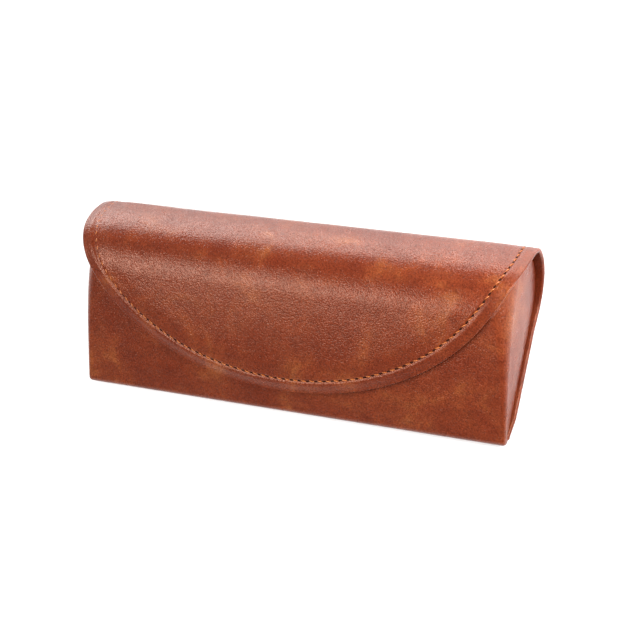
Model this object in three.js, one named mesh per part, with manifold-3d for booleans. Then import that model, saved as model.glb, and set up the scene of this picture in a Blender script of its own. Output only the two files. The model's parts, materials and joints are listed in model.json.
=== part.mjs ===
// Eyeglasses case with a wedge-shaped body and a curved fold-over flap, lying on its back.
// X runs along the case, Y from the bottom fold (negative) to the hinge corner (positive), Z up.
// The origin is the middle of the footprint, on the plane that the back rests on.
// Units are millimetres and, where a name says so, degrees.

import * as THREE from "three";
import { mergeVertices } from "three/addons/utils/BufferGeometryUtils.js";
import Module from "manifold-3d";

// ------------------------------------------------------------------ driving dimensions

const halfLength = 80;            // middle of the case to the face of an end gusset
const sheetHalfWidthLow = 81.2;   // half width of the back sheet at the bottom fold
const sheetHalfWidthHigh = 82.4;  // half width of the back sheet at the hinge

const frontAngle = 37.5;          // front panel above the floor, degrees
const frontHeight = 44;           // length of the front panel up to the lid
const frontBulge = 1.4;           // how far the padded front stands proud at mid height
const gussetBulge = 0.7;          // the same for an end gusset
const rimHeight = 37.8;           // front rim, measured up the front panel
const rimRise = 16;               // how much higher the gusset boards reach near the hinge
const rimRiseDepth = 22;          // depth over which the rim of the boards climbs
const leatherRimHeight = 42.8;    // rim of the leather at the end corners
const leatherRimRise = 15;        // how much higher the leather follows the lid
const leatherRimRun = 5.6;        // depth over which most of that rise happens
const rimClimbStart = 54;         // along the front, where its leather starts to climb
const rimClimbEnd = 69;

const cornerFootRadius = 1.2;     // corner between the front and a gusset, at its foot
const cornerWidening = 0.06;      // growth of that radius for each millimetre of height
const cornerFlare = 11;           // extra radius at the full height of a gusset
const gussetHeight = 58;

const bottomFoldRadius = 2.2;
const backFlat = 44.6;            // flat run of the back
const backCurveRadius = 18;       // back to hinge corner
const lidCornerRadius = 9;        // hinge corner to the top panel
const lidCornerTurn = 44;         // degrees
const topPanelRun = 14;
const topPanelTurn = 18;          // degrees
const crestRadius = 18.5;         // padded bulge over the front edge
const crestTurn = 58.3;           // degrees
const flapRun = 35.8;             // flap lying on the front, down to its tip
const flapTurn = 11.8;            // degrees

const flapHalfWidth = 82.6;
const flapRound = 65;             // length of the half-ellipse that ends the flap
const flapTipHalfWidth = 4;       // the ellipse is cut flat where it is this narrow
const stitchInset = 5;            // flap edge to the stitch line
const boardInset = 8;             // flap edge to its board and foam

const leather = 0.95;             // leather thickness
const lining = 0.5;
const flapBoard = 0.8;
const crestFoam = 2.1;            // foam under the bulge at its thickest
const frontFoam = 0.8;
const frontBoard = 0.8;
const backBoard = 1.6;
const hingeTape = 0.4;
const layerGap = 0.12;            // glue line between two layers
const partGap = 0.3;              // clearance between two parts that meet edge to edge

const magnetRadius = 6;
const keeperRadius = 7;
const discThickness = 0.55;
const discClearance = 0.3;
const flapOffFront = 2.8;         // outer face of the flap to the front leather, at the magnet
const magnetUpFlap = 12;          // flap tip to the middle of the magnet
const threadRadius = 0.35;
const hingeOpenGap = 0.3;
const foldStrip = [               // section of the strip of board in the bottom fold
  [2.4, 1.3],
  [6.4, 1.3],
  [4.2, 4.5],
];

// ------------------------------------------------------------------ colours

const finishes = {
  leather: { color: 0x8a4a30, roughness: 0.42, metalness: 0 },
  board: { color: 0x9a9184, roughness: 0.9, metalness: 0 },
  foam: { color: 0xe6dfcf, roughness: 0.95, metalness: 0 },
  lining: { color: 0x4a2a1c, roughness: 0.95, metalness: 0 },
  tape: { color: 0x2f2a26, roughness: 0.9, metalness: 0 },
  thread: { color: 0xd2813c, roughness: 0.6, metalness: 0 },
  steel: { color: 0xb9bcc0, roughness: 0.35, metalness: 1 },
  magnet: { color: 0x8f9296, roughness: 0.3, metalness: 1 },
};

const eyeglassesCase = new THREE.Group();

function add(name, finish, geometry) {
  const mesh = new THREE.Mesh(geometry, new THREE.MeshStandardMaterial(finishes[finish]));
  mesh.name = name;
  eyeglassesCase.add(mesh);
  return mesh;
}

// ------------------------------------------------------------------ section of the outer sheet

const radians = THREE.MathUtils.degToRad;
const { lerp, clamp, smoothstep } = THREE.MathUtils;

function arc(radius, turn) {
  return { run: radius * radians(turn), turn: radians(turn) };
}

function bend(run, turn) {
  return { run, turn: radians(turn) };
}

// Moves along one stretch of constant curvature and returns the place and heading there.
function advance(place, run, turn) {
  const heading = place.heading + turn;
  if (Math.abs(turn) < 1e-9) {
    return {
      y: place.y + run * Math.cos(heading),
      z: place.z + run * Math.sin(heading),
      heading,
    };
  }
  const radius = run / turn;
  return {
    y: place.y + radius * (Math.sin(heading) - Math.sin(place.heading)),
    z: place.z - radius * (Math.cos(heading) - Math.cos(place.heading)),
    heading,
  };
}

const along = { y: Math.cos(radians(frontAngle)), z: Math.sin(radians(frontAngle)) };
const inward = { y: along.z, z: -along.y };

// The front panel leaves the bottom fold a little steeper than its chord, because it bulges.
const frontStartHeading = radians(frontAngle) + Math.atan(4 * frontBulge / frontHeight);
const foldCentreY = 1.1 * bottomFoldRadius;
const frontStart = {
  y: foldCentreY - bottomFoldRadius * Math.sin(frontStartHeading),
  z: bottomFoldRadius * (1 + Math.cos(frontStartHeading)),
};

// The sheet starts at the foot of the front, runs round the bottom fold, along the back,
// round the hinge corner and over the bulge, and ends at the flap's tip.
const bottomFold = {
  run: bottomFoldRadius * (Math.PI - frontStartHeading),
  turn: Math.PI - frontStartHeading,
};
const backStretches = [bottomFold, bend(backFlat, 0), arc(backCurveRadius, 90)];
const lidStretches = [
  arc(lidCornerRadius, lidCornerTurn),
  bend(topPanelRun, topPanelTurn),
  arc(crestRadius, crestTurn),
  bend(flapRun, flapTurn),
];
const stretches = [...backStretches, ...lidStretches];

function totalRun(list) {
  return list.reduce((sum, stretch) => sum + stretch.run, 0);
}

const backLength = totalRun(backStretches);
const lidLength = totalRun(lidStretches);

// A point of the section at a distance along the sheet, set in from its outer face.
function section(distance, inset) {
  let place = { ...frontStart, heading: frontStartHeading + Math.PI };
  let left = distance;
  for (const { run, turn } of stretches) {
    const part = clamp(left / run, 0, 1);
    place = advance(place, run * part, turn * part);
    left -= run;
    if (left <= 0) {
      break;
    }
  }
  return {
    y: place.y - inset * Math.sin(place.heading),
    z: place.z + inset * Math.cos(place.heading),
  };
}

// ------------------------------------------------------------------ sheet builder

// A closed sheet of columns by rows. place(across, up, depth) gives each corner's position,
// with all three running from 0 to 1 and depth running away from the outer face.
function sheet(columns, rows, place) {
  const geometry = new THREE.BoxGeometry(1, 1, 1, columns, rows, 1);
  const position = geometry.attributes.position;
  const corner = new THREE.Vector3();
  for (let i = 0; i < position.count; i += 1) {
    corner.fromBufferAttribute(position, i).addScalar(0.5);
    const point = place(corner.x, corner.y, corner.z);
    position.setXYZ(i, point.x, point.y, point.z);
  }
  geometry.computeVertexNormals();
  return geometry;
}

// ------------------------------------------------------------------ back of the case

function backHalfWidth(distance) {
  return lerp(sheetHalfWidthLow, sheetHalfWidthHigh, distance / backLength);
}

function backLayer({ from, to, outer, inner, sideInset, rows = 22 }) {
  return sheet(1, rows, (across, up, depth) => {
    const distance = lerp(from, to, up);
    const x = lerp(-1, 1, across) * (backHalfWidth(distance) - sideInset);
    return { x, ...section(distance, lerp(outer, inner, depth)) };
  });
}

const backBoardOuter = leather + layerGap;
const backBoardInner = backBoardOuter + backBoard;
const backLiningOuter = backBoardInner + layerGap;
const backLiningInner = backLiningOuter + lining;
const backBoardStart = bottomFold.run + 5;
const backLiningStart = bottomFold.run + 7;
const softHinge = 7;              // stretch below the hinge that has no board

add("back_cover", "leather", backLayer({
  from: 0,
  to: backLength - hingeOpenGap / 2,
  outer: 0,
  inner: leather,
  sideInset: 0,
  rows: 28,
}));

add("back_board", "board", backLayer({
  from: backBoardStart,
  to: backLength - softHinge,
  outer: backBoardOuter,
  inner: backBoardInner,
  sideInset: boardInset,
}));

add("back_lining", "lining", backLayer({
  from: backLiningStart,
  to: backLength - hingeOpenGap / 2,
  outer: backLiningOuter,
  inner: backLiningInner,
  sideInset: 1.6,
}));

// A fabric tape reinforces the stretch below the hinge that has no board.
add("hinge_tape", "tape", backLayer({
  from: backLength - softHinge + partGap,
  to: backLength - hingeOpenGap / 2,
  outer: leather + layerGap,
  inner: leather + layerGap + hingeTape,
  sideInset: 1.2,
  rows: 5,
}));

// A folded strip of board stiffens the bottom fold from end to end.
function baseStripGeometry() {
  const outline = new THREE.Shape(foldStrip.map(([y, z]) => new THREE.Vector2(y, z)));
  const length = 2 * (halfLength - leather - partGap);
  const geometry = new THREE.ExtrudeGeometry(outline, { depth: length, bevelEnabled: false });
  const frame = new THREE.Matrix4().makeBasis(
    new THREE.Vector3(0, 1, 0),
    new THREE.Vector3(0, 0, 1),
    new THREE.Vector3(1, 0, 0),
  );
  geometry.translate(0, 0, -length / 2);
  geometry.applyMatrix4(frame);
  return geometry;
}

add("base_strip", "board", baseStripGeometry());

// ------------------------------------------------------------------ front and end gussets

// Heights are measured up the front panel from its foot, depths inward from its chord.
function cornerRadius(height) {
  const flare = cornerFlare * (height / gussetHeight) ** 4;
  return cornerFootRadius + cornerWidening * height + flare;
}

const wallSeat = backLiningInner + 0.25;   // the gussets stand on this inset of the back
const curveCentreY = foldCentreY + backFlat;
const curveCentre = {
  height: (curveCentreY - frontStart.y) * along.y + (backCurveRadius - frontStart.z) * along.z,
  depth: (curveCentreY - frontStart.y) * inward.y + (backCurveRadius - frontStart.z) * inward.z,
};
const curveSeatRadius = backCurveRadius - wallSeat;

// Depth at which a gusset meets the back.
function rearDepth(height) {
  const flatDepth = (height * along.z + frontStart.z - wallSeat) / along.y;
  const offCentre = height - curveCentre.height;
  if (flatDepth * along.z + height * along.y + frontStart.y < curveCentreY) {
    return flatDepth;
  }
  return curveCentre.depth + Math.sqrt(Math.max(0, curveSeatRadius ** 2 - offCentre ** 2));
}

// Rim of the boards and the pocket lining.
function boardRim(x, depth) {
  return rimHeight + rimRise * Math.sin(Math.PI / 2 * clamp(depth / rimRiseDepth, 0, 1));
}

// Rim of the leather: straight across the front, then up close under the lid at each end.
function leatherRim(x, depth) {
  const risen = 1 - Math.exp(-Math.max(depth, 0) / leatherRimRun);
  const atEnd = leatherRimHeight + leatherRimRise * risen;
  return lerp(rimHeight, atEnd, smoothstep(Math.abs(x), rimClimbStart, rimClimbEnd));
}

function frontDepth(x, height) {
  const share = height / frontHeight;
  const fade = 1 - (Math.abs(x) / halfLength) ** 4;
  return -4 * frontBulge * share * (1 - share) * fade;
}

// Plan of the wall at a height: front from -1 to 1, then corner from 0 to 1 and gusset from 0 to 1.
function wallPlan(part, share, side, height, inset) {
  const radius = Math.max(cornerRadius(height) - inset, 0.5);
  const straight = halfLength - inset - radius;
  if (part === "front") {
    const x = share * straight;
    return { x, depth: frontDepth(x, height) + inset };
  }
  const startDepth = frontDepth(straight, height) + inset;
  if (part === "corner") {
    const turn = share * Math.PI / 2;
    return {
      x: side * (straight + radius * Math.sin(turn)),
      depth: startDepth + radius * (1 - Math.cos(turn)),
    };
  }
  const depth = lerp(startDepth + radius, rearDepth(height), share);
  const bulge = gussetBulge * Math.sin(Math.PI * share) * smoothstep(height, 4, 30);
  return { x: side * (halfLength - inset + bulge), depth };
}

// A point of the wall. up runs from the foot height to the rim, which climbs with depth, so
// the rim is found in a few passes.
const rimPasses = 12;

function wallPoint({ part, share, side, up, inset, foot, rimDrop, rim = boardRim }) {
  let top = rimHeight;
  for (let pass = 0; pass < rimPasses; pass += 1) {
    const plan = wallPlan(part, share, side, top, inset);
    top = rim(plan.x, plan.depth);
  }
  const height = lerp(foot, top - rimDrop, up);
  const { x, depth } = wallPlan(part, share, side, height, inset);
  return {
    x,
    y: frontStart.y + height * along.y + depth * inward.y,
    z: frontStart.z + height * along.z + depth * inward.z,
  };
}

// Column counts of a wall that wraps the front and both gussets.
const gussetColumns = 4;
const cornerColumns = 4;
const frontColumns = 10;
const wrapColumns = 2 * (gussetColumns + cornerColumns) + frontColumns;

// Which part of the wall a column of the wrap lies on, from the left rear edge to the right.
function wrapPart(across) {
  const column = Math.round(across * wrapColumns) - wrapColumns / 2;
  const side = Math.sign(column) || 1;
  const steps = Math.abs(column);
  const halfFront = frontColumns / 2;
  if (steps <= halfFront) {
    return { part: "front", share: column / halfFront, side };
  }
  if (steps <= halfFront + cornerColumns) {
    return { part: "corner", share: (steps - halfFront) / cornerColumns, side };
  }
  return { part: "gusset", share: (steps - halfFront - cornerColumns) / gussetColumns, side };
}

// The foot of a gusset is higher than the foot of the front, because the wedge closes there.
function footHeight(where, frontFoot, gussetFoot) {
  if (where.part === "front") {
    return frontFoot;
  }
  return where.part === "corner" ? lerp(frontFoot, gussetFoot, where.share) : gussetFoot;
}

function wrapLayer({ outer, inner, frontFoot, gussetFoot, rimDrop, rows, rim }) {
  return sheet(wrapColumns, rows, (across, up, depth) => {
    const where = wrapPart(1 - across);
    const foot = footHeight(where, frontFoot, gussetFoot);
    return wallPoint({ ...where, up, inset: lerp(outer, inner, depth), foot, rimDrop, rim });
  });
}

const frontFoamOuter = leather + layerGap;
const frontBoardOuter = frontFoamOuter + frontFoam + layerGap;
const wallBoardInner = frontBoardOuter + frontBoard;
const wallLiningOuter = wallBoardInner + layerGap;
const wallLiningInner = wallLiningOuter + lining;

add("front_cover", "leather", wrapLayer({
  outer: 0,
  inner: leather,
  frontFoot: 0.4,
  gussetFoot: 2.4,
  rimDrop: 0,
  rows: 11,
  rim: leatherRim,
}));

add("pocket_lining", "lining", wrapLayer({
  outer: wallLiningOuter,
  inner: wallLiningInner,
  frontFoot: 5.6,
  gussetFoot: 7,
  rimDrop: 0,
  rows: 9,
}));

// A plate of the front, between its two corner folds.
function frontLayer({ outer, inner, foot }) {
  return sheet(8, 8, (across, up, depth) => wallPoint({
    part: "front",
    share: lerp(1, -1, across),
    side: 1,
    up,
    inset: lerp(outer, inner, depth),
    foot,
    rimDrop: 0.4,
  }));
}

// A plate of one gusset, from its corner fold to the back.
function gussetLayer({ side, outer, inner, foot }) {
  return sheet(4, 8, (across, up, depth) => wallPoint({
    part: "gusset",
    share: side > 0 ? 1 - across : across,
    side,
    up,
    inset: lerp(outer, inner, depth),
    foot,
    rimDrop: 0.4,
  }));
}

// ------------------------------------------------------------------ joining and cutting

const wasm = await Module();
wasm.setup();

function toSolid(geometry) {
  const bare = geometry.clone();
  bare.deleteAttribute("normal");
  bare.deleteAttribute("uv");
  const merged = mergeVertices(bare, 1e-4);
  const vertProperties = new Float32Array(merged.attributes.position.array);
  const triVerts = new Uint32Array(merged.index.array);
  return new wasm.Manifold(new wasm.Mesh({ numProp: 3, vertProperties, triVerts }));
}

function toGeometry(solid) {
  const { vertProperties, triVerts } = solid.getMesh();
  const geometry = new THREE.BufferGeometry();
  geometry.setAttribute("position", new THREE.BufferAttribute(vertProperties, 3));
  geometry.setIndex(new THREE.BufferAttribute(triVerts, 1));
  geometry.computeVertexNormals();
  return geometry;
}

function cut(geometry, tool) {
  return toGeometry(toSolid(geometry).subtract(toSolid(tool)));
}

// A round disc whose axis stands along a direction in the YZ plane.
function disc(radius, thickness, centre, axis) {
  const geometry = new THREE.CylinderGeometry(radius, radius, thickness, 24);
  const up = new THREE.Vector3(0, 1, 0);
  const direction = new THREE.Vector3(0, axis.y, axis.z).normalize();
  geometry.applyQuaternion(new THREE.Quaternion().setFromUnitVectors(up, direction));
  geometry.translate(0, centre.y, centre.z);
  return geometry;
}

function between(a, b, share) {
  return { y: lerp(a.y, b.y, share), z: lerp(a.z, b.z, share) };
}

function away(a, b) {
  return { y: a.y - b.y, z: a.z - b.z };
}

// ------------------------------------------------------------------ front boards and keeper

const magnetDistance = backLength + lidLength - magnetUpFlap;
const magnetOuter = section(magnetDistance, 0);
const magnetAxis = away(magnetOuter, section(magnetDistance, 1));

const keeperMiddle = section(magnetDistance, flapOffFront + frontBoardOuter + frontBoard / 2);
const punchLength = 10;
const keeperHole = disc(keeperRadius + discClearance, punchLength, keeperMiddle, magnetAxis);

add("front_foam", "foam", frontLayer({
  outer: frontFoamOuter,
  inner: frontFoamOuter + frontFoam,
  foot: 4.8,
}));

add("front_board", "board", cut(
  frontLayer({ outer: frontBoardOuter, inner: wallBoardInner, foot: 5.2 }),
  keeperHole,
));

add("keeper_plate", "steel", disc(keeperRadius, discThickness, keeperMiddle, magnetAxis));

for (const [name, side] of [["left_gusset_board", -1], ["right_gusset_board", 1]]) {
  add(name, "board", gussetLayer({
    side,
    outer: frontFoamOuter,
    inner: wallBoardInner,
    foot: 6,
  }));
}

// A binding behind the leather covers the tops of the boards, round the front and both gussets.
const bindingHeight = 0.68;

add("rim_binding", "leather", sheet(wrapColumns, 1, (across, up, depth) => {
  const where = wrapPart(1 - across);
  return wallPoint({
    ...where,
    up: 1,
    inset: lerp(frontFoamOuter, wallLiningInner, depth),
    foot: 0,
    rimDrop: -lerp(layerGap, layerGap + bindingHeight, up),
  });
}));

// ------------------------------------------------------------------ flap

// Rows run from the hinge to the tip; the last stretch follows the half-ellipse.
const straightShare = 0.16;

function flapRow(up, edgeInset) {
  const reach = flapRound - edgeInset;
  const width = flapHalfWidth - edgeInset;
  if (up <= straightShare) {
    return { fromTip: lerp(lidLength, flapRound, up / straightShare), halfWidth: width };
  }
  const least = Math.asin(flapTipHalfWidth / width);
  const turn = lerp(Math.PI / 2, least, (up - straightShare) / (1 - straightShare));
  return {
    fromTip: edgeInset + reach * (1 - Math.cos(turn)),
    halfWidth: width * Math.sin(turn),
  };
}

// Extra thickness of the foam under the bulge, at a distance from the flap's tip.
const foamLow = flapRun - 2;      // the foam fades out here, just below the bulge
const foamHigh = lidLength - 8;   // and here, clear of the hinge

function foamAt(fromTip) {
  const share = clamp((fromTip - foamLow) / (foamHigh - foamLow), 0, 1);
  return crestFoam * Math.sin(Math.PI * share) ** 2;
}

// A layer of the flap. Each of its columns has a place across, from -1 to 1, and a share of
// the foam's thickness that it lies below.
const plainColumns = [[-1, 1], [1, 1]];

function flapLayer({
  edgeInset, outer, inner, top = 0, bottom = 1, rows = 32, columns = plainColumns,
}) {
  return sheet(columns.length - 1, rows, (across, up, depth) => {
    const [place, foamShare] = columns[Math.round(across * (columns.length - 1))];
    const { fromTip, halfWidth } = flapRow(lerp(top, bottom, up), edgeInset);
    const distance = backLength + lidLength - Math.min(fromTip, lidLength - hingeOpenGap / 2);
    const foam = foamAt(fromTip) * foamShare;
    const inset = lerp(outer(foam), inner(foam), depth);
    return { x: place * halfWidth, ...section(distance, inset) };
  });
}

const flapBoardOuter = leather + 2 * layerGap;
const flapBoardInner = flapBoardOuter + flapBoard;
const flapLiningOuter = flapBoardInner + layerGap;
const flapLiningInner = flapLiningOuter + lining;
const boardSplit = 0.5;           // the crest board meets the flap board here
const splitGap = 0.01;

add("flap_cover", "leather", flapLayer({
  edgeInset: 0,
  outer: () => 0,
  inner: () => leather,
}));

add("flap_foam", "foam", flapLayer({
  edgeInset: boardInset,
  outer: () => leather + layerGap,
  inner: (foam) => leather + layerGap + Math.max(foam - layerGap, 0.1),
  top: 0.13,
  bottom: 0.55,
  rows: 18,
}));

add("crest_board", "board", flapLayer({
  edgeInset: boardInset,
  outer: (foam) => flapBoardOuter + foam,
  inner: (foam) => flapBoardInner + foam,
  top: 0.1,
  bottom: boardSplit - splitGap,
  rows: 18,
}));

const magnetMiddle = between(
  section(magnetDistance, flapBoardOuter),
  section(magnetDistance, flapBoardInner),
  0.5,
);

add("flap_board", "board", cut(
  flapLayer({
    edgeInset: boardInset,
    outer: (foam) => flapBoardOuter + foam,
    inner: (foam) => flapBoardInner + foam,
    top: boardSplit + splitGap,
    bottom: 1,
    rows: 16,
  }),
  disc(magnetRadius + discClearance, punchLength, magnetMiddle, magnetAxis),
));

add("flap_magnet", "magnet", disc(magnetRadius, discThickness, magnetMiddle, magnetAxis));

// Outside the foam the lining lies close to the leather.
const liningColumns = [[-1, 0], [-0.96, 0], [-0.91, 1], [0, 1], [0.91, 1], [0.96, 0], [1, 0]];

add("flap_lining", "lining", flapLayer({
  edgeInset: 0.8,
  columns: liningColumns,
  outer: (foam) => flapLiningOuter + foam,
  inner: (foam) => flapLiningInner + foam,
}));

// ------------------------------------------------------------------ stitch line

const stitchEnd = 0.085;          // share of the flap's rows, from the hinge, that has no stitching

// The thread follows the flap's edge at a fixed inset, just above the leather.
function stitchPoint(share) {
  const swing = lerp(-1, 1, share);
  const side = Math.sign(swing) || 1;
  const up = 1 - Math.abs(swing) * (1 - stitchEnd);
  const { fromTip, halfWidth } = flapRow(up, stitchInset);
  const distance = backLength + lidLength - fromTip;
  const { y, z } = section(distance, -threadRadius - 0.08);
  return new THREE.Vector3(side * halfWidth, y, z);
}

function threadGeometry() {
  const path = new THREE.CatmullRomCurve3(
    Array.from({ length: 61 }, (_, i) => stitchPoint(i / 60)),
  );
  const outline = new THREE.Shape();
  outline.absarc(0, 0, threadRadius, 0, 2 * Math.PI);
  return new THREE.ExtrudeGeometry(outline, {
    steps: 72,
    curveSegments: 3,
    bevelEnabled: false,
    extrudePath: path,
  });
}

add("flap_thread", "thread", threadGeometry());

// ------------------------------------------------------------------ origin

const footprint = new THREE.Box3().setFromObject(eyeglassesCase);
eyeglassesCase.position.y = -(footprint.min.y + footprint.max.y) / 2;

export default eyeglassesCase;
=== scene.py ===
"""Looks of the eyeglasses case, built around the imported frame.

Lengths are millimetres in the case's section frame: y runs from the bottom fold to the hinge
corner, z up from the back. place() turns them into metres in the row frame. Heights are
measured up the front panel from its foot, depths inward from its chord, and insets inward
from the outer face of the leather.
"""

import json
import math

import bpy
from mathutils import Matrix, Vector, noise


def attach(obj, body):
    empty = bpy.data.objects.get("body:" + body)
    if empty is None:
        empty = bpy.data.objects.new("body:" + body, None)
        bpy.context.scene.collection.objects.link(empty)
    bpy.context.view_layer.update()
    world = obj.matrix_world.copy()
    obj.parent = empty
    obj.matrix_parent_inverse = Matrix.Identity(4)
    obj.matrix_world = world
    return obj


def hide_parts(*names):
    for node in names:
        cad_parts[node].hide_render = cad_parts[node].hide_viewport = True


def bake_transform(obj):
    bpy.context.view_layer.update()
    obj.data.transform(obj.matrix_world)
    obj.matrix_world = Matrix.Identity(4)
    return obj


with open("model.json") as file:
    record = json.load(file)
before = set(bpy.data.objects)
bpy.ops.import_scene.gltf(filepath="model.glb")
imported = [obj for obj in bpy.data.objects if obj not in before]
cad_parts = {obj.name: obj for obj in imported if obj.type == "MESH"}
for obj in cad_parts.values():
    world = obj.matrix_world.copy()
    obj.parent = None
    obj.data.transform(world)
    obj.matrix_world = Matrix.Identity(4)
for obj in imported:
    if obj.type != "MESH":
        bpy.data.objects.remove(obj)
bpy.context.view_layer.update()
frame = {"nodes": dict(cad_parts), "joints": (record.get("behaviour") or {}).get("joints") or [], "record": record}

# ---------------------------------------------------------------- driving dimensions, mm

MM = 0.001
HALF_LENGTH = 80.0                   # middle to the face of a gusset, at its foot
SHEET_HALF_LOW = 81.3                # half width of the back, up to where it flares
SHEET_HALF_HIGH = 82.6               # and at the hinge
SHEET_FLARE = (42.0, 74.0)           # stretch of the back over which it flares
FOOT_TUCK = 0.9                      # how much narrower each side is at the bottom fold
FOOT_TUCK_RUN = 9.0                  # run over which the tuck fades
SHEET_LAP = 0.6                      # end of the bottom fold to the sheet's lower edge
HIDDEN_HEM = 3.0                     # how far below that edge its hem counts as going on
FRONT_ANGLE = math.radians(37.5)     # between the front and the back
FRONT_HEIGHT = 44.0                  # height over which the front bulges
FRONT_BULGE = 1.4
GUSSET_BULGE = 0.7
GUSSET_BULGE_RISE = (4.0, 30.0)      # heights over which the gusset's bulge grows
WALL_TAPER = 0.010                   # how much the wall narrows for each millimetre of height
WALL_LEAN = 0.006                    # and how much it leans to the right
CORNER_FOOT_RADIUS = 1.2
CORNER_WIDENING = 0.06               # growth of that radius for each millimetre of height
CORNER_FLARE = 11.0                  # and what it gains besides at the gusset's full height
GUSSET_HEIGHT = 58.0
LEAST_CORNER_RADIUS = 0.5            # on the inner layers

BOARD_RIM = (37.8, 16.0, 22.0)       # rim of the boards: height, rise, depth of the rise
LEATHER_RIM = (42.8, 15.0, 5.6)      # rim of the leather at a gusset: height, rise, run
RIM_CLIMB = (54.0, 69.0)             # stretch of the front over which the rim climbs
RIM_PASSES = 12                      # passes that find the rim, which depends on the depth there

FOLD_RADIUS = 2.2
FOLD_CENTRE = 1.1                    # centre of the bottom fold, in fold radii from the origin
FOLD_CLEARANCE = 0.15                # leather at a gusset's foot to the centre of the fold
BACK_FLAT = 44.6
BACK_CURVE_RADIUS = 18.0
LID_CORNER = (9.0, 44.0)             # radius, degrees
TOP_PANEL = (14.0, 18.0)             # run, degrees
CREST = (18.5, 58.3)                 # radius, degrees
FLAP_FRONT = (35.8, 11.8)            # run, degrees
FLAP_HALF_WIDTH = 82.6
FLAP_ROUND = 65.0                    # length of the flap's round end, half an ellipse
FLAP_TIP_HALF_WIDTH = 4.0            # half width of the last row of points
FLAP_STRAIGHT_ROWS = 0.16            # share of the flap's rows on its straight sides
COLUMN_CROWDING = 1.5                # above 1, the columns crowd towards the sides

LEATHER = 0.95
HEM_THICKNESS = 1.75
FLAP_HEM_THICKNESS = 1.0
HEM_WIDTH = 6.5
HEM_STEP = 1.2                       # run over which the hem thins to the leather
HEM_CREASE = 0.1                     # depth of the line round the hem's edge, as a share
CREASE_ANGLE = (1.75, 0.22)          # where that line lies on the half round, and its width
EDGE_ROUND = 0.85                    # how far the rounded edge stands beyond a sheet's grid
BORDER_DIP = 0.8                     # how far the flap's border falls towards the edge
BORDER_WIDTH = 6.0                   # width over which it does
BORDER_CROWN = 0.22                  # height of the rounded border outside the stitches
CROWN_SKEW = 1.7                     # above 1, the crown lies nearer to the stitches
STITCH_GROOVE = 0.22
STITCH_GROOVE_WIDTH = 0.6
PAD_SINK = 0.35                      # how far the padding fades at the stitches
PAD_RUN = (5.3, 13.0)                # distances from the edge over which it does
LEFT_REACH = 0.011                   # the flap's left end reaches further out by this share
LEFT_RISE = 0.45                     # and stands this much higher
LEFT_END = (45.0, 78.0)              # distances left of the middle over which both grow
FLAP_SET_IN = 6.0                    # run past the hinge over which the flap's relief sets in
SHEET_SWAY = ((0.12, 21.0, 3.7), (0.05, 7.0, 9.1))    # (height, size, seed) of each unevenness
SHEET_SWAY_RUN = (2.0, 12.0)         # distances from the edge over which it sets in
BACK_SWAY = 0.5                      # its share on the back
BACK_SWAY_START = 40.0               # bottom fold to where it begins there
WALL_SWAY = ((0.10, 19.0, 1.3), (0.04, 6.0, 5.2))
WALL_SWAY_RUN = (2.0, 14.0)          # heights over which it sets in

LINING = 0.45
LINING_INSET = 4.2                   # edge of the outer leather to the edge of its lining
LINING_START = 7.0                   # bottom fold to the lining's lower edge
LINING_GAP = 0.05                    # between the hem and the lining
BACK_LINING_RISE = (2.6, 6.0)        # distances from the edge where it climbs onto the back board
FLAP_LINING_RISE = (4.5, 8.0)        # and onto the flap's boards
LINING_CHANGE = 12.0                 # run past the hinge from the one height to the other
FLAP_BOARD_INNER = 2.05              # inset of the inner face of the flap's boards
CREST_FOAM = 2.1                     # and how much the foam adds over the crest
FOAM_PAST_CREST = 2.0                # how far the foam runs on below the crest
FOAM_BEFORE_HINGE = 8.0              # and how far from the hinge it stops
BACK_BOARD_INNER = 2.86              # inset of the inner face of the back board
WALL_BOARD_INNER = 2.9               # and of the front and gusset boards
WALL_SEAT = 3.61                     # inset of the pocket lining's rear edge from the back
SHEET_GAP = (2.7, 3.5)               # inset of the gusset's rear edge, at its foot and its top
SHEET_GAP_RISE = (5.0, 45.0)         # heights between which it goes from one to the other
FRONT_LAP = 0.5                      # how far the front leather laps past the bottom fold
FRONT_FEET = (0.0, 2.0)              # foot of the front leather, at the front and at a gusset
POCKET_FEET = (5.6, 7.0)             # foot of the pocket lining, at the same places
POCKET_RIM_DROP = 1.0

MAGNET_UP_FLAP = 12.0
MAGNET_RADIUS = 6.0
MAGNET_BUMP = 0.35                   # how far the lining stands up over the magnet
MAGNET_BUMP_RUN = (-0.4, 1.6)        # distances from the magnet's rim over which it falls again

STITCH_INSET = 5.0
STITCH_PITCH = 3.05
STITCH_LENGTH = 1.8
STITCH_SLANT = 0.26                  # how far each end of a stitch is off the stitch line
STITCH_RISE = 0.30                   # height of a stitch from its ends to its middle
STITCH_DIP = 0.14                    # how far its ends sink into the leather
STITCH_FLATNESS = 0.7                # below 1, the middle of a stitch is flatter
STITCH_STOP = 3.2                    # hinge to the first stitch
STITCH_ROUND_SHARE = 0.93            # share of the stitch line on the flap's round end
THREAD_RADIUS = 0.22
THREAD_TAPER = 0.12                  # above 0, the ends of a stitch are less pointed
PLY_DEPTH = 0.3                      # depth of the furrow between two plies, as a share
PLY_TWIST = 0.55                     # turn of the plies from one ring of points to the next
HOLE_SIZE = (0.78, 0.58)             # half length and half width of a needle hole
HOLE_OFFSET = 0.28                   # how far the holes sit off the stitch line, towards the hinge
HOLE_CROWN = 0.12                    # height of its lens of painted shade over the lens's own middle
HOLE_LIFT = 0.02                     # height of that middle over the leather
HOLE_DEPTH = 0.3                     # depth of its bottom point under the leather

HINGE = Vector(next(j for j in frame["joints"] if j["name"] == "flap_hinge")["pos_m"])


def lerp(a, b, share):
    return a + (b - a) * share


def smooth(value, low, high):
    share = min(1.0, max(0.0, (value - low) / (high - low)))
    return share * share * (3 - 2 * share)


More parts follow.
